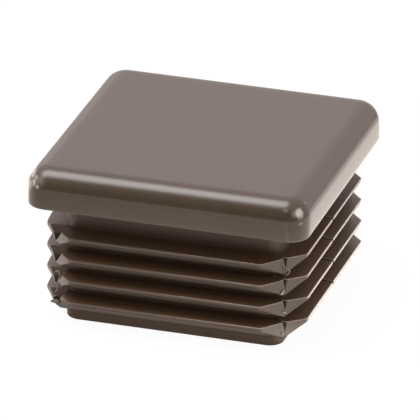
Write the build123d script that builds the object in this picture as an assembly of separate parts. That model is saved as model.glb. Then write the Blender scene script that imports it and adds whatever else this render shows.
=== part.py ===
from build123d import *
import os
from math import cos, radians, sin, sqrt, tan

# Square end plug for a steel tube, moulded in one piece from soft plastic.
# A head with a rolled shoulder covers the end of the tube, and a hollow square core
# below it carries four thin lips that squeeze against the tube's bore.
# Millimetres. Z points up, and the origin is the middle of the rim the plug stands on.

# The tube that the plug closes
tube_width = 40.0
tube_wall = 1.5

# Head: an upright side, a crease all round, and a rolled shoulder up to a flat top
head_side_height = 3.1
shoulder_radius = 3.0
shoulder_crease_tilt = 10.0
top_corner_radius = 0.35
head_lower_round = 0.25

# Core: a square cup, open below
core_wall = 1.6
hollow_corner_radius = 0.5
crown_thickness = 2.7
core_rim_round = 0.3
bare_core_below_lips = 1.33

# Lips: level on top, sloping underneath, with a narrow upright tip
lip_count = 4
lip_pitch = 3.19
first_lip_drop = 4.25
lip_squeeze = 0.35
lip_reach = 3.3
lip_tip_thickness = 0.45
lip_top_rise = 0.2
lip_underside_angle = 35.0
lip_corner_cut = 5.2
lip_corner_round = 0.8

# Each lip is slit through its left and right sides, and notched at its corners
side_slit_width = 0.45
side_slit_offset = 1.0
wide_notch_width = 3.7
wide_notch_depth = 1.75
wide_notch_shift = 0.8
narrow_notch_width = 0.7
narrow_notch_depth = 1.3
notch_closed_width = 0.12

# How far a cutting shape runs past what it cuts
cut_past = 1.0

head_width = tube_width
shoulder_inset = shoulder_radius * cos(radians(shoulder_crease_tilt))
shoulder_height = shoulder_radius * (1 - sin(radians(shoulder_crease_tilt)))
head_corner_radius = shoulder_inset + top_corner_radius
head_height = head_side_height + shoulder_height

lip_span = tube_width - 2 * tube_wall + 2 * lip_squeeze
lip_underside_drop = lip_reach * tan(radians(lip_underside_angle))
core_width = lip_span - 2 * lip_reach
core_corner_radius = hollow_corner_radius + core_wall

lips_depth = first_lip_drop + (lip_count - 1) * lip_pitch + lip_tip_thickness + lip_underside_drop
seat_height = lips_depth + bare_core_below_lips
total_height = seat_height + head_height


def square_block(width, corner_radius, base, height):
    """Upright square block with rounded upright edges, standing at the height base."""
    plan = RectangleRounded(width, width, corner_radius)
    return Pos(0, 0, base) * extrude(plan, height)


def head():
    """Head: the shoulder is rolled on a slightly larger block, so it meets the side at a crease."""
    overhang = shoulder_radius - shoulder_inset
    crown = square_block(head_width + 2 * overhang, head_corner_radius + overhang, seat_height, head_height)
    crown = fillet(crown.edges().group_by(Axis.Z)[-1], shoulder_radius)
    sides = square_block(head_width, head_corner_radius, seat_height, head_height)
    sides = fillet(sides.edges().group_by(Axis.Z)[0], head_lower_round)
    return crown & sides


def core():
    """Square post from the rim up into the head, with its lower outer edge rounded."""
    post = square_block(core_width, core_corner_radius, 0, seat_height + head_side_height / 2)
    return fillet(post.edges().group_by(Axis.Z)[0], core_rim_round)


def hollow():
    """Square space inside the core, open at the rim and closed by the crown."""
    ceiling = total_height - crown_thickness
    return square_block(core_width - 2 * core_wall, hollow_corner_radius, -cut_past, ceiling + cut_past)


def corner_notch(width, depth, shift):
    """Notch across one lip's corner, from the core's corner out through the cut corner.

    It is made on the X axis with the lip's tip at height 0. Its mouth is as wide as named at
    the lip's top, nearly closed at the notch's depth, and shifted along the cut corner.
    """
    core_corner = core_width / sqrt(2) - core_corner_radius * (sqrt(2) - 1)
    cut_corner = (lip_span - lip_corner_cut) / sqrt(2)
    reach = cut_corner - core_corner
    spread = (reach + cut_past) / reach
    slope = (width - notch_closed_width) / depth
    top = lip_top_rise + cut_past / 2
    faces = []
    for height in (top, -depth):
        half = (notch_closed_width + slope * (height + depth)) / 2
        flare = Polyline(
            (core_corner, 0),
            (core_corner + reach * spread, (shift - half) * spread),
            (core_corner + reach * spread, (shift + half) * spread),
            close=True,
        )
        faces.append(Pos(0, 0, height) * make_face(flare))
    return loft(faces, ruled=True)


def lip():
    """One lip, mitred round the core, with its tip's top edge at height 0."""
    tip = lip_span / 2
    root = core_width / 2
    section = Polyline(
        (-tip, 0),
        (-root, lip_top_rise),
        (root, lip_top_rise),
        (tip, 0),
        (tip, -lip_tip_thickness),
        (root, -lip_tip_thickness - lip_underside_drop),
        (-root, -lip_tip_thickness - lip_underside_drop),
        (-tip, -lip_tip_thickness),
        close=True,
    )
    ridge = extrude(Plane.XZ * make_face(section), lip_span, both=True)
    plate = ridge & ridge.rotate(Axis.Z, 90)

    outline = Rectangle(lip_span, lip_span)
    outline = chamfer(outline.vertices(), lip_corner_cut)
    outline = fillet(outline.vertices(), lip_corner_round)
    plate = plate & extrude(outline, lip_span, both=True)

    for angle, width, depth, shift in (
        (45, wide_notch_width, wide_notch_depth, wide_notch_shift),
        (135, narrow_notch_width, narrow_notch_depth, 0),
        (225, wide_notch_width, wide_notch_depth, -wide_notch_shift),
        (315, narrow_notch_width, narrow_notch_depth, 0),
    ):
        plate -= corner_notch(width, depth, shift).rotate(Axis.Z, angle)

    for side in (-1, 1):
        slit = Box(lip_reach + cut_past, side_slit_width, lip_span)
        middle = root + (lip_reach + cut_past) / 2
        plate -= Pos(side * middle, -side * side_slit_offset, 0) * slit
    return plate


plug = head() + core()
for number in range(lip_count):
    lip_top = seat_height - first_lip_drop - number * lip_pitch
    plug += Pos(0, 0, lip_top) * lip()
plug -= hollow()

os.makedirs("parts", exist_ok=True)
export_step(plug, "parts/end_plug.step")
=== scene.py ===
"""Dresses a square tube end plug: one dark polyethylene moulding on a plain pale floor.

The plug is grown as one closed skin, level by level, from the middle of its flat top down
over the head, the core and the lips, and up again inside the hollow core. It stands where
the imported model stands, with the same sizes, and it replaces that model's one node.
Lengths are in metres, and those of the plug are written as millimetres times MM.
"""

from __future__ import annotations

import logging
import math
from dataclasses import dataclass, field, replace
from enum import Enum

import bmesh
import bpy
from mathutils import Matrix, Vector, noise

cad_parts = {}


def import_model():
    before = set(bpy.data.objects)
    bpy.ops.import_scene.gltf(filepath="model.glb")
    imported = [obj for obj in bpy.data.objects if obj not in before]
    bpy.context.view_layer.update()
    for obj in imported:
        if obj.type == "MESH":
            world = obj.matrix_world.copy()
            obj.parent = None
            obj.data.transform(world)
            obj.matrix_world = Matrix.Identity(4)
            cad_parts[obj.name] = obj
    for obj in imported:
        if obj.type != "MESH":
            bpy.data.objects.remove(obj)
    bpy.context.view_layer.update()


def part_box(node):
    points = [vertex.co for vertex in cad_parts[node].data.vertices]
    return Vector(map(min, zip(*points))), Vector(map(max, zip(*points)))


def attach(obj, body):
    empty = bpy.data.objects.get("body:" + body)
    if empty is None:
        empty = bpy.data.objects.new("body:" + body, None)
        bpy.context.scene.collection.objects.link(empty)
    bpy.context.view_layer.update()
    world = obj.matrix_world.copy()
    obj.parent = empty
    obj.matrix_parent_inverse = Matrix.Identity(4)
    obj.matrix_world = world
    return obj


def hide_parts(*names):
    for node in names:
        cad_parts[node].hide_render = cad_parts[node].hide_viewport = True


NODE = "end_plug"
BODY = "root"
WEAR_AND_HIGHLIGHT = "edge_wear_and_highlight"

# The setting of a Map Range node that eases in and out
SMOOTH = {"interpolation_type": "SMOOTHSTEP"}

MM = 0.001
QUARTER_TURN = math.pi / 2
EIGHTH_TURN = math.pi / 4

# Points of the skin that are nearer to each other than this are one point
MERGE_REACH = 0.0005 * MM

Tree = bpy.types.NodeTree
Socket = bpy.types.NodeSocket

log = logging.getLogger("end_plug")


def linear(code: str) -> tuple[float, float, float, float]:
    """Turns an sRGB hex colour into the linear colour that a shader takes.

    Args:
        code: Six hex digits, with or without a leading hash.

    Returns:
        Red, green, blue and an alpha of 1.
    """
    digits = code.lstrip("#")
    shares = [int(digits[i : i + 2], 16) / 255 for i in (0, 2, 4)]
    lit = [s / 12.92 if s <= 0.04045 else ((s + 0.055) / 1.055) ** 2.4 for s in shares]
    return lit[0], lit[1], lit[2], 1.0


def ramp(value: float, start: float, length: float) -> float:
    """How far a value is past its start, as a share of a length, from 0 to 1."""
    return min(max((value - start) / length, 0.0), 1.0)


def run(start: float, end: float, out: float, steps: int) -> list[Vector]:
    """Points in plan along a straight stretch, without its first one.

    Args:
        start: Where the stretch starts, along its side.
        end: Where it ends.
        out: Its distance out.
        steps: How many points it gets.

    Returns:
        The points.
    """
    return [Vector((start + (end - start) * step / steps, out)) for step in range(1, steps + 1)]


def bend(centre: Vector, radius: float, steps: int) -> list[Vector]:
    """Points in plan from straight out, an eighth of a turn towards a corner, without the first one.

    Args:
        centre: Middle of the bend.
        radius: Its radius.
        steps: How many points it gets.

    Returns:
        The points.
    """
    angles = [EIGHTH_TURN * step / steps for step in range(1, steps + 1)]
    return [centre + radius * Vector((math.sin(angle), math.cos(angle))) for angle in angles]


def raised(points: list[Vector], height: float) -> list[Vector]:
    """Lifts points in plan to one height."""
    return [point.to_3d() + Vector((0, 0, height)) for point in points]


def add_object(name: str, data: bpy.types.ID) -> bpy.types.Object:
    """Makes an object at the origin and links it to the scene."""
    made = bpy.data.objects.new(name, data)
    bpy.context.scene.collection.objects.link(made)
    return made


def add_mesh(name: str, mesh: bmesh.types.BMesh) -> bpy.types.Object:
    """Turns a finished bmesh into an object at the origin, and frees it."""
    data = bpy.data.meshes.new(name)
    mesh.to_mesh(data)
    mesh.free()
    return add_object(name, data)


def cleared(owner: bpy.types.Material | bpy.types.World) -> Tree:
    """Gives a material or a world an empty node tree."""
    owner.use_nodes = True
    owner.node_tree.nodes.clear()
    return owner.node_tree


def add_node(
    tree: Tree, kind: str, inputs: dict[str | int, object] | None = None, **settings: object
) -> bpy.types.Node:
    """Adds one shader node with its settings, values and links.

    Args:
        tree: The node tree that it joins.
        kind: Blender's name for the kind of node, after the word ShaderNode.
        inputs: For each input, by name or place, a value or the socket that feeds it.
        **settings: Attributes of the node itself.

    Returns:
        The new node.
    """
    node = tree.nodes.new("ShaderNode" + kind)
    for name, value in settings.items():
        setattr(node, name, value)
    for name, value in (inputs or {}).items():
        if isinstance(value, Socket):
            tree.links.new(value, node.inputs[name])
        else:
            node.inputs[name].default_value = value
    return node


class Side(Enum):
    """The plug's four sides, in turn about its axis, as quarter turns from the front."""

    FRONT = 0
    RIGHT = 1
    BACK = 2
    LEFT = 3

    def place(self, along: float, out: float) -> Vector:
        """Puts a point of this side in plan: along it, to the right seen from outside, and out."""
        return Matrix.Rotation(self.value * QUARTER_TURN, 2) @ Vector((along, -out))


@dataclass(frozen=True)
class Columns:
    """How many columns of faces run down each half side, the same on every level."""

    straight: int = 12
    turn: int = 6
    facet: int = 3

    @property
    def corner(self) -> int:
        """Columns from the end of the straight side to the corner's diagonal."""
        return self.turn + self.facet + 1


@dataclass(frozen=True)
class Slits:
    """The narrow slits through the lips, which set the middle columns of every level."""

    width: float = 0.45 * MM
    shift: float = -1.0 * MM
    sides: tuple[Side, ...] = (Side.RIGHT, Side.LEFT)

    def edge(self, side: Side, right: bool) -> float:
        """How far one edge of the slit is from the middle of its side, towards that end.

        Args:
            side: The side that the slit is in.
            right: Whether it is the edge towards the side's right end.

        Returns:
            The distance. A side with no slit has two middle columns there instead.
        """
        shift = self.shift if side in self.sides else 0.0
        return self.width / 2 + (shift if right else -shift)

    def scaled(self, share: float) -> Slits:
        """The same middle columns, drawn in towards the middle of the top."""
        return replace(self, width=self.width * share, shift=self.shift * share)


class Outline:
    """An outline in plan, made of two half sides for each side of the plug."""

    def half_side(self, side: Side, right: bool) -> list[Vector]:
        """Points of one half side, which each kind of outline has for itself."""
        raise NotImplementedError

    def points(self) -> list[Vector]:
        """Joins the half sides.

        Returns:
            The whole outline, counted round from the front's left corner.
        """
        found = []
        for side in Side:
            left = [Vector((-p.x, p.y)) for p in reversed(self.half_side(side, False))]
            found += [side.place(p.x, p.y) for p in left + self.half_side(side, True)]
        return found


@dataclass(frozen=True)
class RoundedSquare(Outline):
    """A square outline with rounded corners."""

    half: float
    radius: float
    slits: Slits
    columns: Columns = Columns()

    def half_side(self, side: Side, right: bool) -> list[Vector]:
        """Points of one half side, from beside its middle to the corner's diagonal.

        Args:
            side: The side that the half belongs to.
            right: Whether it is the half at the side's right end.

        Returns:
            Points with the distance along the side and the distance out.
        """
        start = self.slits.edge(side, right)
        flat = self.half - self.radius
        points = [Vector((start, self.half)), Vector((start, self.half))]
        points += run(start, flat, self.half, self.columns.straight)
        return points + bend(Vector((flat, flat)), self.radius, self.columns.corner)


@dataclass(frozen=True)
class Notch:
    """How a lip is notched at one corner: wide at its top, and closing to a crack lower down.

    The apex is the distance along each axis of the point where its two walls meet.
    """

    width: float
    shift: float
    depth: float
    apex: float
    closed: float = 0.05 * MM

    def edges(self, height: float) -> tuple[float, float]:
        """Where the notch's two edges are along the cut corner, from its middle.

        Args:
            height: Height above the lip's tip, below zero down the notch.

        Returns:
            The reach towards the side before the corner, and towards the side after it.
        """
        open_share = max(0.0, 1 + height / self.depth)
        half = (self.closed + (self.width - self.closed) * open_share) / 2
        return half + self.shift, half - self.shift


@dataclass(frozen=True)
class LipOutline(Outline):
    """A lip's outline: a square with cut and rounded corners, its notches and its slits.

    The root is how far out a slit starts, the height is that above the lip's tip, and the
    inset is how far the whole outline stands in.
    """

    half: float
    cuts: tuple[float, float, float, float]
    turns: dict[tuple[Side, bool], float]
    slits: Slits
    root: float
    notches: tuple[Notch, Notch, Notch, Notch]
    height: float
    inset: float
    columns: Columns = Columns()

    def half_side(self, side: Side, right: bool) -> list[Vector]:
        """Points of one half side, from beside its middle to the apex of the corner's notch.

        Args:
            side: The side that the half belongs to.
            right: Whether it is the half at the side's right end.

        Returns:
            Points with the distance along the side and the distance out.
        """
        half = self.half - self.inset
        corner = side.value if right else (side.value - 1) % len(Side)
        cut = self.cuts[corner]
        notch = self.notches[corner]
        turn = self.turns[side, right]
        turn_reach = turn * math.tan(EIGHTH_TURN / 2)
        flat = half - cut - turn_reach
        slit = self.slits.edge(side, right) + self.inset
        inner = self.root if side in self.slits.sides else half
        points = [Vector((slit, inner)), Vector((slit, half))]
        points += run(slit, flat, half, self.columns.straight)
        points += bend(Vector((flat, half - turn)), turn, self.columns.turn)
        middle = Vector((half - cut / 2, half - cut / 2))
        start = cut / math.sqrt(2) - turn_reach
        end = notch.edges(self.height)[0 if right else 1] + self.inset
        for step in range(1, self.columns.facet + 1):
            reach = start + (end - start) * step / self.columns.facet
            points.append(middle + reach * Vector((-1, 1)) / math.sqrt(2))
        points.append(Vector((notch.apex, notch.apex)))
        return points


class Skin:
    """Closed skins, each grown a level at a time from an open ring of edges."""

    def __init__(self) -> None:
        """Makes the empty mesh, with its marks for creases and for worn edges, which also carry a painted
        highlight.
        """
        self.mesh = bmesh.new()
        self.sharp = self.mesh.edges.layers.int.new("crease_mark")
        self.worn_and_highlit = self.mesh.verts.layers.float.new(WEAR_AND_HIGHLIGHT)
        self.ring: list[bmesh.types.BMVert] = []
        self.edges: list[bmesh.types.BMEdge] = []

    def start(self, ring: list[Vector], wear_and_highlight: float = 0.0) -> None:
        """Starts a new skin with one flat face.

        Args:
            ring: The points of its first level, in order.
            wear_and_highlight: How worn the level is, and how much painted highlight it gets.
        """
        self.ring = [self.mesh.verts.new(point) for point in ring]
        for vert in self.ring:
            vert[self.worn_and_highlit] = wear_and_highlight
        following = self.ring[1:] + self.ring[:1]
        self.edges = [self.mesh.edges.new(pair) for pair in zip(self.ring, following)]
        self.cap()

    def cap(self) -> None:
        """Closes the open ring with one flat face."""
        bmesh.ops.contextual_create(self.mesh, geom=self.edges)

    def grow(self, ring: list[Vector], crease: bool = False, wear_and_highlight: float = 0.0) -> None:
        """Extrudes the open ring to the next level.

        Args:
            ring: The points of the next level, as many as the ring has.
            crease: Whether the new level is a sharp edge.
            wear_and_highlight: How worn the level is, and how much painted highlight it gets.
        """
        made = bmesh.ops.extrude_edge_only(self.mesh, edges=self.edges)["geom"]
        fresh = {part for part in made if isinstance(part, bmesh.types.BMVert)}
        following = []
        for old in self.ring:
            neighbours = (edge.other_vert(old) for edge in old.link_edges)
            following.append(next(vert for vert in neighbours if vert in fresh))
        for vert, point in zip(following, ring):
            vert.co = point
            vert[self.worn_and_highlit] = wear_and_highlight
        self.ring = following
        made_edges = [part for part in made if isinstance(part, bmesh.types.BMEdge)]
        self.edges = [edge for edge in made_edges if fresh.issuperset(edge.verts)]
        for edge in self.edges:
            edge[self.sharp] = int(crease)

    def finish(self, name: str, fold: float) -> bpy.types.Object:
        """Merges doubled points, turns the faces outwards and makes the object.

        Args:
            name: The object's name.
            fold: Angle between two faces past which their edge is sharp.

        Returns:
            The object, at the origin, with its place in its mesh.
        """
        bmesh.ops.remove_doubles(self.mesh, verts=self.mesh.verts, dist=MERGE_REACH)
        bmesh.ops.dissolve_degenerate(self.mesh, edges=self.mesh.edges, dist=MERGE_REACH)
        bmesh.ops.recalc_face_normals(self.mesh, faces=self.mesh.faces)
        for face in self.mesh.faces:
            face.smooth = True
        for edge in self.mesh.edges:
            edge.smooth = not edge[self.sharp] and edge.calc_face_angle(0.0) < fold
        return add_mesh(name, self.mesh)


@dataclass(frozen=True)
class Head:
    """The square head: a flat top, a rolled shoulder, an upright side and a level underside.

    Its top sinks a little in the middle, as a thick moulding does while it cools. Its sides
    bulge a little, and its upright corners are squarer lower down.
    """

    half: float
    top: float
    seat: float
    shoulder: float = 3.0 * MM
    crease_tilt: float = math.radians(10)
    top_corner: float = 0.35 * MM
    lower_round: float = 0.25 * MM
    sink: float = 0.06 * MM
    bulge: float = 0.025 * MM
    corner_flare: float = 0.35 * MM
    crown_shares: tuple[float, ...] = (0.06, 0.2, 0.34, 0.48, 0.62, 0.74, 0.84, 0.91, 0.96, 1.0)
    shoulder_steps: int = 18
    side_steps: int = 6
    round_steps: int = 4

    @property
    def inset(self) -> float:
        """How far the flat top's edge stands in from the side."""
        return self.shoulder * math.cos(self.crease_tilt)

    @property
    def corner(self) -> float:
        """Plan radius of the head's upright corners, at the crease."""
        return self.inset + self.top_corner

    @property
    def crease(self) -> float:
        """Height of the crease between the shoulder and the upright side."""
        return self.top - self.shoulder * (1 - math.sin(self.crease_tilt))

    def ring(self, inset: float, height: float, slits: Slits) -> list[Vector]:
        """One level of the head's outside.

        Args:
            inset: How far it stands in from the head's side.
            height: Its height.
            slits: The slits that set the middle columns.

        Returns:
            The points of the level.
        """
        below = ramp(self.crease - height, 0.0, self.crease - self.seat)
        corner = self.corner - self.corner_flare * below
        outline = RoundedSquare(self.half - inset, max(corner - inset, self.top_corner), slits)
        return raised(outline.points(), height)

    def crown(self, slits: Slits) -> list[list[Vector]]:
        """Levels of the flat top, from a small ring in its middle to its edge.

        Args:
            slits: The slits that set the middle columns.

        Returns:
            Rings of points.
        """
        edge = self.half - self.inset
        rings = []
        for share in self.crown_shares:
            outline = RoundedSquare(edge * share, self.top_corner * share, slits.scaled(share))
            drop = self.sink * (1 - share**2) ** 2
            rings.append(raised(outline.points(), self.top - drop))
        return rings

    def side(self, slits: Slits) -> list[tuple[list[Vector], bool]]:
        """Levels from the top's edge over the shoulder and down to the underside's edge.

        Args:
            slits: The slits that set the middle columns.

        Returns:
            Rings of points, each with whether it is a crease.
        """
        levels = []
        for step in range(1, self.shoulder_steps + 1):
            share = step / self.shoulder_steps
            angle = QUARTER_TURN + (self.crease_tilt - QUARTER_TURN) * share
            inset = self.inset - self.shoulder * math.cos(angle) + self.bulge * share
            height = self.top - self.shoulder * (1 - math.sin(angle))
            levels.append((inset, height, step == self.shoulder_steps))
        foot = self.seat + self.lower_round
        for step in range(1, self.side_steps):
            share = step / self.side_steps
            inset = self.bulge * (2 * share - 1) ** 2
            levels.append((inset, self.crease + (foot - self.crease) * share, False))
        for step in range(self.round_steps + 1):
            angle = QUARTER_TURN * step / self.round_steps
            inset = self.bulge + self.lower_round * (1 - math.cos(angle))
            levels.append((inset, foot - self.lower_round * math.sin(angle), False))
        return [(self.ring(inset, height, slits), crease) for inset, height, crease in levels]


@dataclass(frozen=True)
class Core:
    """The hollow square core below the head, open at its rim."""

    half: float
    seat: float
    ceiling: float
    wall: float = 1.6 * MM
    inner_corner: float = 0.5 * MM
    rim_round: float = 0.3 * MM
    rim_steps: int = 4

    @property
    def corner(self) -> float:
        """Plan radius of the core's outer corners."""
        return self.wall + self.inner_corner

    @property
    def corner_point(self) -> float:
        """Distance along each axis of the point where the diagonal leaves the core's corner."""
        return self.half - self.corner * (1 - 1 / math.sqrt(2))

    def ring(self, inset: float, height: float, slits: Slits) -> list[Vector]:
        """One level of the core.

        Args:
            inset: How far it stands in from the core's side.
            height: Its height.
            slits: The slits that set the middle columns.

        Returns:
            The points of the level.
        """
        outline = RoundedSquare(self.half - inset, self.corner - inset, slits)
        return raised(outline.points(), height)

    def rim(self, slits: Slits) -> list[tuple[list[Vector], bool]]:
        """Levels round the rim's lower edge, in across the rim and up to the ceiling.

        Args:
            slits: The slits that set the middle columns.

        Returns:
            Rings of points, each with whether it is a crease.
        """
        rings = []
        for step in range(self.rim_steps + 1):
            angle = QUARTER_TURN * step / self.rim_steps
            inset = self.rim_round * (1 - math.cos(angle))
            height = self.rim_round * (1 - math.sin(angle))
            rings.append((self.ring(inset, height, slits), False))
        for height in (0.0, self.ceiling):
            rings.append((self.ring(self.wall, height, slits), True))
        return rings


@dataclass(frozen=True)
class Lips:
    """The thin lips round the core that squeeze into the tube's bore.

    The pressed lengths say how far this plug's lips are bent in: on the right for each lip
    from the head down, and on the left near the front corner. They also sag to the left.
    """

    core: Core
    slits: Slits = Slits()
    count: int = 4
    pitch: float = 3.19 * MM
    first_drop: float = 4.25 * MM
    reach: float = 3.3 * MM
    tip: float = 0.45 * MM
    rise: float = 0.2 * MM
    underside: float = math.radians(35)
    belly: float = -0.05 * MM
    top_round: float = 0.1 * MM
    under_round: float = 0.12 * MM
    round_steps: int = 3

    cut: float = 5.2 * MM
    right_back_cut: float = 5.5 * MM
    turn: float = 1.1 * MM
    crisp_turn: float = 0.4 * MM
    wide_notch: float = 4.0 * MM
    wide_shift: float = 0.65 * MM
    wide_depth: float = 2.2 * MM
    narrow_notch: float = 0.7 * MM
    narrow_shift: float = -0.2 * MM
    narrow_depth: float = 1.3 * MM
    narrow_floor: float = 0.95 * MM

    waver: float = 0.035 * MM
    waver_length: float = 5.0 * MM
    pressed_right: tuple[float, ...] = (0.2 * MM, 0.16 * MM, 0.06 * MM, 0.02 * MM)
    pressed_left: float = 0.4 * MM
    pressed_left_from: float = 10.0 * MM
    pressed_left_over: float = 4.0 * MM
    pressed_left_power: float = 1.5
    sag_left: float = 0.25 * MM
    sag_left_from: float = 12.5 * MM
    sag_left_over: float = 4.0 * MM

    # A point no farther out from the core's side than this is at the lip's root
    root_margin: float = 0.01 * MM

    @property
    def half(self) -> float:
        """Half the lips' span from tip to tip."""
        return self.core.half + self.reach

    @property
    def slope(self) -> float:
        """How far the underside falls for each length in from the tip."""
        return math.tan(self.underside)

    def notches(self) -> tuple[Notch, Notch, Notch, Notch]:
        """Works out the notches.

        Returns:
            The notches at the corners after the front, right, back and left sides.
        """
        corner = self.core.corner_point
        narrow = Notch(self.narrow_notch, self.narrow_shift, self.narrow_depth, corner + self.narrow_floor)
        wide = Notch(self.wide_notch, -self.wide_shift, self.wide_depth, corner)
        return narrow, wide, narrow, replace(wide, shift=self.wide_shift)

    def turns(self) -> dict[tuple[Side, bool], float]:
        """Gives each of a lip's eight corners its round.

        Returns:
            The radii, by side and by whether it is the side's right end.
        """
        rounds = {(side, right): self.turn for side in Side for right in (False, True)}
        rounds[Side.LEFT, True] = self.crisp_turn
        rounds[Side.RIGHT, True] = self.crisp_turn
        return rounds

    def thickness(self, inward: float) -> float:
        """How far the underside is below the top of the lip's tip, at a distance in from the tip.

        Args:
            inward: The distance in.

        Returns:
            The thickness. The underside's belly is a parabola, at its full depth midway.
        """
        share = inward / self.reach
        return self.tip + self.slope * inward + self.belly * 4 * share * (1 - share)

    def place(self, number: int, tip_top: float, point: Vector, depth: float, drop: float) -> Vector:
        """Gives a point of a lip's outline its height, with the moulding's slight unevenness.

        Args:
            number: The lip's place below the head, from 0.
            tip_top: Height of the top edge of the lip's tip.
            point: The point in plan.
            depth: The share of the lip's thickness that is above it.
            drop: How far it stands below that.

        Returns:
            The point in space.
        """
        inward = min(max(self.half - max(abs(point.x), abs(point.y)), 0.0), self.reach)
        out = 1 - inward / self.reach
        height = tip_top + self.rise * (1 - out) * (1 - depth) - self.thickness(inward) * depth
        spot = Vector((point.x, point.y, tip_top)) / self.waver_length
        uneven = self.waver * out * noise.noise(spot)
        pressed = 0.0
        if point.x > self.core.half:
            pressed = -self.pressed_right[number] * out
        if point.x < -self.core.half:
            near = ramp(-point.y, self.pressed_left_from, self.pressed_left_over)
            pressed = self.pressed_left * out * near**self.pressed_left_power
        sag = self.sag_left * out * ramp(-point.x, self.sag_left_from, self.sag_left_over)
        return Vector((point.x + pressed, point.y, height - drop + uneven - sag))

    def edge_levels(self) -> list[tuple[float, float, float, float]]:
        """Levels round the tip's top edge, down to the notches' ends, and round its lower edge.

        Returns:
            For each, how far it stands in, the share of the lip's thickness that is above it,
            how far it stands below that, and how worn it is, which also places the painted
            highlight on the tip's top edge.
        """
        levels = []
        for step in range(self.round_steps + 1):
            angle = QUARTER_TURN * step / self.round_steps
            inset = self.top_round * (1 - math.sin(angle))
            levels.append((inset, 0.0, self.top_round * (1 - math.cos(angle)), math.sin(2 * angle)))
        for notch_depth in (self.narrow_depth, self.wide_depth):
            levels.append((0.0, notch_depth / self.thickness(self.cut / 2), 0.0, 0.0))
        turn = QUARTER_TURN - self.underside
        for step in range(self.round_steps + 1):
            angle = turn * step / self.round_steps
            inset = self.under_round * (1 - math.cos(angle))
            height = self.under_round * (math.tan(turn / 2) - math.sin(angle))
            levels.append((inset, 1.0, -height - self.slope * inset, 0.0))
        return levels

    def rings(self, number: int) -> list[tuple[list[Vector], bool, float]]:
        """Levels of one lip, from its root on top, out round its tip and back underneath.

        Args:
            number: The lip's place below the head, from 0.

        Returns:
            Rings of points, each with whether it is a crease and how worn it is, which also places the
            painted highlight.
        """
        tip_top = self.core.seat - self.first_drop - number * self.pitch
        foot = tip_top - self.tip - self.slope * self.reach
        levels = [(self.core.ring(0.0, tip_top + self.rise, self.slits), True, 0.0)]
        for inset, depth, drop, wear_and_highlight in self.edge_levels():
            outline = LipOutline(
                half=self.half,
                cuts=(self.cut, self.right_back_cut, self.cut, self.cut),
                turns=self.turns(),
                slits=self.slits,
                root=self.core.half,
                notches=self.notches(),
                height=-depth * self.thickness(self.cut / 2),
                inset=inset,
            )
            ring = []
            for point in outline.points():
                at_root = max(abs(point.x), abs(point.y)) < self.core.half + self.root_margin
                ring.append(self.place(number, tip_top, point, depth, 0.0 if at_root else drop))
            levels.append((ring, False, wear_and_highlight))
        levels.append((self.core.ring(0.0, foot, self.slits), True, 0.0))
        return levels


@dataclass(frozen=True)
class Strand:
    """A thread of flash on a lip's cut corner, where the mould let some plastic past.

    The path gives the distance along the cut corner and the height of each point, in
    millimetres, and the corner is the one at the right end of the named side. Towards its
    ends the thread thins to a share of its radius.
    """

    corner: Side
    path: tuple[tuple[float, float], ...]
    radius: float
    wear_and_highlight: float
    end_share: float = 0.4
    facets: int = 6

    def rings(self, reach: float) -> list[list[Vector]]:
        """Rings of points along the thread, which is thickest in its middle.

        Args:
            reach: Distance of the cut corner's face from the plug's axis.

        Returns:
            The rings, from one end to the other.
        """
        turn = Matrix.Rotation(self.corner.value * QUARTER_TURN, 3, "Z")
        outward = turn @ Vector((1, -1, 0)).normalized()
        along = turn @ Vector((1, 1, 0)).normalized()
        points = [along * a * MM + Vector((0, 0, h * MM)) + outward * reach for a, h in self.path]
        last = len(points) - 1
        rings = []
        for place, point in enumerate(points):
            ahead = points[min(place + 1, last)] - points[max(place - 1, 0)]
            across = ahead.cross(outward).normalized()
            fullness = math.sin(math.pi * place / last)
            radius = self.radius * (self.end_share + (1 - self.end_share) * fullness)
            ring = []
            for step in range(self.facets):
                angle = 2 * math.pi * step / self.facets
                ring.append(point + radius * (math.cos(angle) * across + math.sin(angle) * outward))
            rings.append(ring)
        return rings


# Five threads down the near corner, and four at the lower end of the left one
STRANDS = (
    Strand(
        Side.FRONT,
        (
            (0.06, 12.65), (0.27, 12.29), (0.58, 12.05), (0.74, 11.76),
            (0.59, 11.51), (0.28, 11.36), (0.07, 11.32),
        ),
        0.12 * MM,
        0.35,
    ),
    Strand(Side.FRONT, ((-0.38, 13.11), (-0.17, 12.62), (-0.1, 12.16), (0.03, 11.68)), 0.09 * MM, 0.3),
    Strand(Side.FRONT, ((-0.06, 9.19), (-0.21, 8.92), (-0.42, 8.72), (-0.6, 8.52)), 0.2 * MM, 1.0),
    Strand(Side.FRONT, ((-0.3, 5.79), (-0.1, 5.9), (0.12, 5.79), (0.31, 5.51)), 0.14 * MM, 0.6),
    Strand(Side.FRONT, ((-0.45, 2.61), (-0.26, 2.66), (-0.04, 2.55)), 0.16 * MM, 0.6),
    Strand(
        Side.LEFT,
        ((-0.44, 5.57), (0.22, 5.46), (0.55, 5.18), (0.41, 4.78), (-0.13, 4.18), (-0.65, 3.7)),
        0.12 * MM,
        0.7,
    ),
    Strand(Side.LEFT, ((0.93, 3.03), (0.17, 2.87), (-0.73, 2.53), (-1.58, 2.12)), 0.34 * MM, 0.0),
    Strand(Side.LEFT, ((-1.25, 2.77), (-0.64, 3.29), (0.23, 3.83)), 0.12 * MM, 0.5),
    Strand(
        Side.LEFT,
        ((-0.57, 6.88), (0.0, 7.36), (0.69, 7.54), (1.06, 7.39), (0.94, 6.81), (0.46, 6.24)),
        0.12 * MM,
        0.15,
    ),
)


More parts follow.
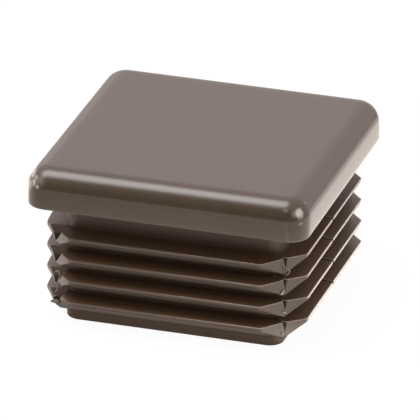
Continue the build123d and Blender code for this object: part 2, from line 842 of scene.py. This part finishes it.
@dataclass(frozen=True)
class PaleSpot:
    """A pale, dull spot: a rubbed or scratched place in the dark plastic, and at the head's near corner
    also a painted highlight.

    Its middle and its reach along each axis are in millimetres. It is as pale as its strength
    within the core, which is a share of its reach, and from there it fades out.
    """

    middle: tuple[float, float, float]
    reach: tuple[float, float, float]
    strength: float
    core: float = 0.3

    def mask(self, tree: Tree, place: Socket) -> Socket:
        """Adds the nodes that find the spot.

        Args:
            tree: The material's node tree.
            place: The point's object coordinates.

        Returns:
            The socket with the spot's strength at each point.
        """
        middle = tuple(c * MM for c in self.middle)
        shrink = tuple(1 / (c * MM) for c in self.reach)
        offset = add_node(tree, "VectorMath", {0: place, 1: middle}, operation="SUBTRACT")
        scaled = add_node(tree, "VectorMath", {0: offset.outputs[0], 1: shrink}, operation="MULTIPLY")
        away = add_node(tree, "VectorMath", {0: scaled.outputs[0]}, operation="LENGTH")
        fade = {0: away.outputs["Value"], 1: 1.0, 2: self.core, 3: 0.0, 4: self.strength}
        return add_node(tree, "MapRange", fade, **SMOOTH).outputs[0]


# Spots at the head's near corner and its left one, then the cracks of two slits and a nick in one lip; the
# first is a scuff with a painted highlight on it
PALE_SPOTS = (
    # A scuff at the near corner with a painted highlight on it
    PaleSpot((18.9, -18.6, 21.9), (0.75, 0.8, 1.1), 0.68),
    PaleSpot((17.12, -19.31, 22.4), (0.5, 0.4, 0.35), 0.15),
    PaleSpot((19.13, -16.6, 22.63), (0.25, 0.25, 0.25), 0.4),
    PaleSpot((19.2, -18.89, 20.51), (0.5, 0.5, 0.3), 0.3),
    PaleSpot((-19.1, -17.6, 22.3), (0.8, 1.9, 0.9), 0.7),
    PaleSpot((-18.7, -19.2, 21.5), (0.6, 0.6, 0.7), 0.65),
    PaleSpot((-18.0, -19.65, 21.15), (0.5, 0.4, 0.35), 0.5),
    PaleSpot((-19.3, -18.7, 21.2), (0.6, 0.9, 1.3), 0.55),
    PaleSpot((-18.4, -18.9, 22.2), (0.5, 0.6, 0.5), 0.35),
    PaleSpot((19.96, -0.37, 18.05), (0.3, 0.35, 0.3), 0.5),
    PaleSpot((19.98, -9.32, 18.1), (0.3, 0.35, 0.3), 0.5),
    PaleSpot((14.71, -15.62, 10.65), (0.22, 0.22, 0.2), 0.7),
)


@dataclass(frozen=True)
class MouldedPolyethylene:
    """Polyethylene, injection moulded: dark brown-black, as it came from the mould.

    To the eye the head and the lips' tips are satin. They are nearly black where they reflect
    nothing, and mirror pale surroundings softly, more so at a glancing view. The core and the
    rest of the lips come from unpolished parts of the mould, so they are duller and browner.
    The lips' undersides are paler again, with a painted bounce light from the table below them.
    """

    name: str = "polyethylene_injection_moulded"

    # The skin's two shades drift into each other over the few millimetres that the melt flowed
    dark: str = "#2F2519"
    light: str = "#382C1E"
    flow: float = 6.0 * MM
    flow_detail: float = 3.0
    flow_roughness: float = 0.55

    # All that is lower than this is unpolished, apart from upright faces this far out
    unpolished: str = "#3F2D1C"
    unpolished_below: float = 17.8 * MM
    tips_from: float = 16.1 * MM
    tips_lean: float = 0.3

    # Faces that look down this much get a painted bounce light from the table, apart from the last lip's
    painted_bounce_light: str = "#493F36"
    painted_bounce_lean: tuple[float, float] = (-0.35, -0.6)
    painted_bounce_above: float = 3.9 * MM

    # The tips' upper edges are worn, and their paleness grows towards the plug's right side as a painted
    # highlight
    pale_wear_and_highlight: str = "#B5A99C"
    edge_wear_and_highlight_strength: tuple[float, float] = (0.03, 0.56)
    edge_highlight_across: tuple[float, float] = (-4 * MM, 12 * MM)

    # A pale place, of wear and of painted highlight, is broken up into patches of about this width
    patch: float = 0.45 * MM
    patch_detail: float = 3.0
    patch_range: tuple[float, float] = (0.35, 0.5)
    patch_levels: tuple[float, float] = (0.5, 1.0)

    # The mould's grain is finer than 0.1 mm, and is drawn coarser so that it shows
    grain: float = 0.3 * MM
    grain_detail: float = 2.0
    grain_height: float = 0.006 * MM

    ior: float = 1.51
    satin_roughness: float = 0.3
    unpolished_roughness: float = 0.45

    def worn_and_highlit(self, tree: Tree, place: Socket) -> Socket:
        """Adds the nodes for the pale places: the scuffs and the worn edges, with their painted highlights.

        Args:
            tree: The material's node tree.
            place: The point's object coordinates.

        Returns:
            The socket with the share of the pale colour of wear and painted highlight.
        """
        patches = add_node(
            tree, "TexNoise", {"Vector": place, "Scale": 1 / self.patch, "Detail": self.patch_detail}
        ).outputs["Fac"]
        low, high = self.patch_range
        least, most = self.patch_levels
        broken = add_node(tree, "MapRange", {0: patches, 1: low, 2: high, 3: least, 4: most}).outputs[0]
        wear_and_highlight = add_node(tree, "Attribute", attribute_name=WEAR_AND_HIGHLIGHT).outputs["Fac"]
        across = add_node(tree, "SeparateXYZ", {0: place}).outputs[0]
        # Painted highlight: the worn edges grow paler across the plug towards its right side
        start, end = self.edge_highlight_across
        weak, strong = self.edge_wear_and_highlight_strength
        strength = add_node(tree, "MapRange", {0: across, 1: start, 2: end, 3: weak, 4: strong}).outputs[0]
        share = add_node(tree, "Math", {0: wear_and_highlight, 1: strength}, operation="MULTIPLY").outputs[0]
        for pale_spot in PALE_SPOTS:
            spot = pale_spot.mask(tree, place)
            share = add_node(tree, "Math", {0: share, 1: spot}, operation="MAXIMUM").outputs[0]
        return add_node(tree, "Math", {0: share, 1: broken}, operation="MULTIPLY").outputs[0]

    def tips(self, tree: Tree, place: Socket, upward: Socket) -> Socket:
        """Adds the nodes that find the upright faces outside the core: the lips' tips and cut corners.

        Args:
            tree: The material's node tree.
            place: The point's object coordinates.
            upward: How far the face looks up.

        Returns:
            The socket that is 1 there.
        """
        sides = add_node(tree, "VectorMath", {0: place}, operation="ABSOLUTE").outputs[0]
        sides = add_node(tree, "SeparateXYZ", {0: sides}).outputs
        out = add_node(tree, "Math", {0: sides[0], 1: sides[1]}, operation="MAXIMUM").outputs[0]
        proud = add_node(tree, "Math", {0: out, 1: self.tips_from}, operation="GREATER_THAN").outputs[0]
        lean = add_node(tree, "Math", {0: upward}, operation="ABSOLUTE").outputs[0]
        upright = add_node(tree, "Math", {0: lean, 1: self.tips_lean}, operation="LESS_THAN").outputs[0]
        return add_node(tree, "Math", {0: proud, 1: upright}, operation="MULTIPLY").outputs[0]

    def matt(self, tree: Tree, place: Socket, upward: Socket) -> Socket:
        """Adds the nodes that find the unpolished faces.

        Args:
            tree: The material's node tree.
            place: The point's object coordinates.
            upward: How far the face looks up.

        Returns:
            The socket that is 1 there.
        """
        height = add_node(tree, "SeparateXYZ", {0: place}).outputs[2]
        limit = self.unpolished_below
        below = add_node(tree, "Math", {0: height, 1: limit}, operation="LESS_THAN").outputs[0]
        tips = self.tips(tree, place, upward)
        return add_node(
            tree, "Math", {0: below, 1: tips}, operation="SUBTRACT", use_clamp=True
        ).outputs[0]

    def painted_bounce_mask(self, tree: Tree, place: Socket, upward: Socket) -> Socket:
        """Adds the nodes that find the undersides that get the painted bounce light.

        Args:
            tree: The material's node tree.
            place: The point's object coordinates.
            upward: How far the face looks up.

        Returns:
            The socket with how much painted bounce light each point gets.
        """
        # Painted bounce light: faces that look down are made paler, as if lit by the table
        start, full = self.painted_bounce_lean
        under = add_node(tree, "MapRange", {0: upward, 1: start, 2: full, 3: 0.0, 4: 1.0}).outputs[0]
        height = add_node(tree, "SeparateXYZ", {0: place}).outputs[2]
        limit = self.painted_bounce_above
        above = add_node(tree, "Math", {0: height, 1: limit}, operation="GREATER_THAN").outputs[0]
        return add_node(tree, "Math", {0: under, 1: above}, operation="MULTIPLY").outputs[0]

    def build(self) -> bpy.types.Material:
        """Makes the material.

        Returns:
            The material.
        """
        material = bpy.data.materials.new(self.name)
        tree = cleared(material)
        place = add_node(tree, "TexCoord").outputs["Object"]
        facing = add_node(tree, "TexCoord").outputs["Normal"]
        upward = add_node(tree, "SeparateXYZ", {0: facing}).outputs[2]
        flow = add_node(
            tree,
            "TexNoise",
            {
                "Vector": place,
                "Scale": 1 / self.flow,
                "Detail": self.flow_detail,
                "Roughness": self.flow_roughness,
            },
        ).outputs["Fac"]
        matt = self.matt(tree, place, upward)
        colour = linear(self.dark)
        for share, shade in (
            (flow, self.light),
            (matt, self.unpolished),
            (self.painted_bounce_mask(tree, place, upward), self.painted_bounce_light),
            (self.worn_and_highlit(tree, place), self.pale_wear_and_highlight),
        ):
            colour = add_node(
                tree, "Mix", {"Factor": share, 6: colour, 7: linear(shade)}, data_type="RGBA"
            ).outputs[2]
        grain = add_node(
            tree, "TexNoise", {"Vector": place, "Scale": 1 / self.grain, "Detail": self.grain_detail}
        ).outputs["Fac"]
        relief = add_node(
            tree, "Bump", {"Height": grain, "Distance": self.grain_height, "Strength": 1.0}
        ).outputs["Normal"]
        roughness = add_node(
            tree,
            "Mix",
            {"Factor": matt, 2: self.satin_roughness, 3: self.unpolished_roughness},
            data_type="FLOAT",
        ).outputs[0]
        surface = add_node(
            tree,
            "BsdfPrincipled",
            {"Base Color": colour, "Roughness": roughness, "IOR": self.ior, "Normal": relief},
        ).outputs["BSDF"]
        add_node(tree, "OutputMaterial", {"Surface": surface})
        return material


@dataclass(frozen=True)
class Plug:
    """The whole plug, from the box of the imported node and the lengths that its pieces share."""

    low: Vector
    high: Vector
    seat: float = 17.911 * MM
    core_half: float = 15.55 * MM
    crown: float = 2.7 * MM
    strand_lift: float = 0.05 * MM
    fold: float = math.radians(12)
    finish: MouldedPolyethylene = field(default_factory=MouldedPolyethylene)

    def moulding(self, skin: Skin, lips: Lips) -> None:
        """Grows the head, the core and the lips as one closed skin.

        Args:
            skin: The skin that they join.
            lips: The lips, with their core.
        """
        head = Head((self.high.x - self.low.x) / 2, self.high.z, self.seat)
        crown = head.crown(lips.slits)
        skin.start(crown[0])
        for ring in crown[1:]:
            skin.grow(ring)
        for ring, crease in head.side(lips.slits):
            skin.grow(ring, crease)
        skin.grow(lips.core.ring(0.0, self.seat, lips.slits), True)
        for number in range(lips.count):
            for ring, crease, wear_and_highlight in lips.rings(number):
                skin.grow(ring, crease, wear_and_highlight)
        for ring, crease in lips.core.rim(lips.slits):
            skin.grow(ring, crease)
        skin.cap()

    def flash(self, skin: Skin, lips: Lips) -> None:
        """Lays the threads of flash on the lips' cut corners.

        Args:
            skin: The skin that they join.
            lips: The lips that they lie on.
        """
        reach = (lips.half - lips.cut / 2) * math.sqrt(2) + self.strand_lift
        for strand in STRANDS:
            rings = strand.rings(reach)
            skin.start(rings[0], strand.wear_and_highlight)
            for ring in rings[1:]:
                skin.grow(ring, False, strand.wear_and_highlight)
            skin.cap()

    def build(self) -> bpy.types.Object:
        """Grows the plug's skin, makes it an object and gives it its finish.

        Returns:
            The plug's object.
        """
        lips = Lips(Core(self.core_half, self.seat, self.high.z - self.crown))
        skin = Skin()
        self.moulding(skin, lips)
        self.flash(skin, lips)
        piece = skin.finish("moulded_plug", self.fold)
        piece.data.materials.append(self.finish.build())
        return piece


@dataclass(frozen=True)
class Card:
    """A soft rectangular light, with its place and its size in metres."""

    name: str
    place: Vector
    size: tuple[float, float]
    watts: float

    def hang(self, target: Vector, tint: str) -> None:
        """Hangs the light.

        Args:
            target: The point that it faces.
            tint: Its colour.
        """
        light = bpy.data.lights.new(self.name, "AREA")
        light.shape = "RECTANGLE"
        light.size, light.size_y = self.size
        light.energy = self.watts
        light.color = linear(tint)[:3]
        lamp = add_object(self.name, light)
        lamp.location = self.place
        lamp.rotation_euler = (target - self.place).to_track_quat("-Z", "Y").to_euler()


@dataclass(frozen=True)
class Studio:
    """A pale lit table, a softbox overhead, and a room that is pale behind and dark in front.

    The camera sees the table and the room as plain white, with the plug's faint shadow.
    """

    floor_reach: float = 3.0
    floor_colour: str = "#E6E3E0"
    shadow_share: float = 0.045

    # The table's glow is strongest behind the plug's right side and fades with the distance
    glow_colour: str = "#FFF4ED"
    glow_middle: Vector = Vector((54 * MM, 50 * MM, 0))
    glow_reach: tuple[float, float] = (30 * MM, 265 * MM)
    glow_levels: tuple[float, float] = (2.3, 0.3)

    # Under the plug and close round it the table is in shade
    shade_middle: Vector = Vector((-3 * MM, -1 * MM, 0))
    shade_reach: tuple[float, float] = (18 * MM, 21 * MM)
    shade_level: float = 0.3

    # A brighter strip of table along the plug's right side gleams on the lips' tips there
    gleam_start: tuple[float, float] = (19 * MM, 20 * MM)
    gleam_reach: tuple[float, float] = (22 * MM, 25 * MM)
    gleam_level: float = 2.4

    light_tint: str = "#FDFAFA"
    cards: tuple[Card, ...] = (
        Card("overhead_softbox", Vector((-0.36, -0.1, 1.0)), (0.6, 0.8), 12.6),
        Card("right_fill", Vector((0.75, -0.43, 0.5)), (0.5, 0.45), 3.9),
        Card("left_fill", Vector((-0.75, -0.5, 0.42)), (0.8, 0.6), 3.9),
    )

    # The room's light on the plug, and between which directions it turns from dark to pale
    room_colour: str = "#FFF3F7"
    room_front: float = 0.185
    room_back: float = 1.38
    room_turn: tuple[float, float] = (-0.62, -0.2)

    def glow(self, tree: Tree) -> Socket:
        """Adds the nodes that light the table's points as the plug sees them.

        Args:
            tree: The node tree of the table's material.

        Returns:
            The socket with the glow.
        """
        place = add_node(tree, "TexCoord").outputs["Object"]
        away = add_node(
            tree, "VectorMath", {0: place, 1: self.glow_middle}, operation="DISTANCE"
        ).outputs["Value"]
        near, far = self.glow_reach
        strong, weak = self.glow_levels
        fade = {0: away, 1: near, 2: far, 3: strong, 4: weak}
        spread = add_node(tree, "MapRange", fade, **SMOOTH).outputs[0]
        moved = add_node(
            tree, "VectorMath", {0: place, 1: self.shade_middle}, operation="SUBTRACT"
        ).outputs[0]
        sides = add_node(tree, "VectorMath", {0: moved}, operation="ABSOLUTE").outputs[0]
        sides = add_node(tree, "SeparateXYZ", {0: sides}).outputs
        beside = add_node(tree, "Math", {0: sides[0], 1: sides[1]}, operation="MAXIMUM").outputs[0]
        start, end = self.shade_reach
        fade = {0: beside, 1: start, 2: end, 3: self.shade_level, 4: 1.0}
        shade = add_node(tree, "MapRange", fade, **SMOOTH).outputs[0]
        right = add_node(tree, "SeparateXYZ", {0: place}).outputs[0]
        close, clear = self.gleam_reach
        gleam = add_node(
            tree, "MapRange", {0: right, 1: close, 2: clear, 3: self.gleam_level, 4: 1.0}
        ).outputs[0]
        edge, past = self.gleam_start
        strip = add_node(tree, "MapRange", {0: right, 1: edge, 2: past, 3: 1.0, 4: gleam}).outputs[0]
        level = spread
        for share in (shade, strip):
            level = add_node(tree, "Math", {0: level, 1: share}, operation="MULTIPLY").outputs[0]
        return add_node(tree, "Emission", {"Color": linear(self.glow_colour), "Strength": level}).outputs[0]

    def board(self) -> bpy.types.Material:
        """Makes the table's painted board.

        To the camera it is white, with a share of its own shading so that the plug's shadow
        stays. As light on the plug it glows.

        Returns:
            The material.
        """
        material = bpy.data.materials.new("painted_board")
        tree = cleared(material)
        paint = add_node(tree, "BsdfDiffuse", {"Color": linear(self.floor_colour)})
        white = add_node(tree, "Emission", {"Color": (1, 1, 1, 1), "Strength": 1.0})
        seen = add_node(tree, "MixShader", {0: self.shadow_share, 1: white.outputs[0], 2: paint.outputs[0]})
        path = add_node(tree, "LightPath")
        surface = add_node(
            tree, "MixShader", {0: path.outputs["Is Camera Ray"], 1: self.glow(tree), 2: seen.outputs[0]}
        ).outputs[0]
        add_node(tree, "OutputMaterial", {"Surface": surface})
        return material

    def floor(self) -> None:
        """Makes the table top that the plug stands on."""
        mesh = bmesh.new()
        bmesh.ops.create_grid(mesh, x_segments=1, y_segments=1, size=self.floor_reach)
        floor = add_mesh("floor", mesh)
        floor.data.materials.append(self.board())

    def room(self) -> None:
        """Sets the pale room: white to the camera, and dimmer as light on the plug."""
        world = bpy.data.worlds.new("studio_room")
        tree = cleared(world)
        way = add_node(tree, "TexCoord").outputs["Generated"]
        back = add_node(tree, "SeparateXYZ", {0: way}).outputs[1]
        start, end = self.room_turn
        fade = {0: back, 1: start, 2: end, 3: self.room_front, 4: self.room_back}
        level = add_node(tree, "MapRange", fade, **SMOOTH).outputs[0]
        walls = add_node(tree, "Background", {"Color": linear(self.room_colour), "Strength": level})
        white = add_node(tree, "Background", {"Color": (1, 1, 1, 1), "Strength": 1.0})
        path = add_node(tree, "LightPath")
        mixed = add_node(
            tree, "MixShader", {0: path.outputs["Is Camera Ray"], 1: walls.outputs[0], 2: white.outputs[0]}
        )
        add_node(tree, "OutputWorld", {"Surface": mixed.outputs[0]})
        bpy.context.scene.world = world

    def build(self, middle: Vector) -> None:
        """Sets up the floor, the lights and the room.

        Args:
            middle: The middle of the plug, which the lights face.
        """
        self.floor()
        for card in self.cards:
            card.hang(middle, self.light_tint)
        self.room()


@dataclass(frozen=True)
class Camera:
    """The photograph's viewpoint: a long lens, above and to the right of the front.

    Its angles are in degrees, and its lens and its sensor in millimetres.
    """

    azimuth: float = 16.657
    elevation: float = 24.155
    roll: float = 0.631
    distance: float = 1083.0 * MM
    lens: float = 672.02
    sensor: float = 36.0
    aside: float = 0.682 * MM
    aim_height: float = 11.849 * MM
    clip: tuple[float, float] = (0.01, 20.0)

    def build(self) -> None:
        """Makes the camera and hands it to the scene."""
        turn, rise, roll = (math.radians(a) for a in (self.azimuth, self.elevation, self.roll))
        toward = Vector((math.sin(turn) * math.cos(rise), -math.cos(turn) * math.cos(rise), math.sin(rise)))
        level = Vector((math.cos(turn), math.sin(turn), 0))
        upright = toward.cross(level)
        across = math.cos(roll) * level + math.sin(roll) * upright
        up = math.cos(roll) * upright - math.sin(roll) * level
        data = bpy.data.cameras.new("camera")
        data.lens = self.lens
        data.sensor_width = self.sensor
        data.clip_start, data.clip_end = self.clip
        pose = Matrix((across, up, toward)).transposed().to_4x4()
        pose.translation = level * self.aside + Vector((0, 0, self.aim_height)) + toward * self.distance
        camera = add_object("camera", data)
        camera.matrix_world = pose
        bpy.context.scene.camera = camera


def main() -> None:
    """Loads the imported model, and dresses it."""
    logging.basicConfig(level=logging.INFO, format="%(message)s")
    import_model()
    low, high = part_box(NODE)
    bpy.context.scene.view_settings.view_transform = "Standard"
    Camera().build()

    plug = Plug(low, high).build()
    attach(plug, BODY)
    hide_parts(NODE)
    log.info("%s: %d faces", plug.name, len(plug.data.polygons))

    Studio().build((low + high) / 2)


if __name__ == "__main__":
    main()
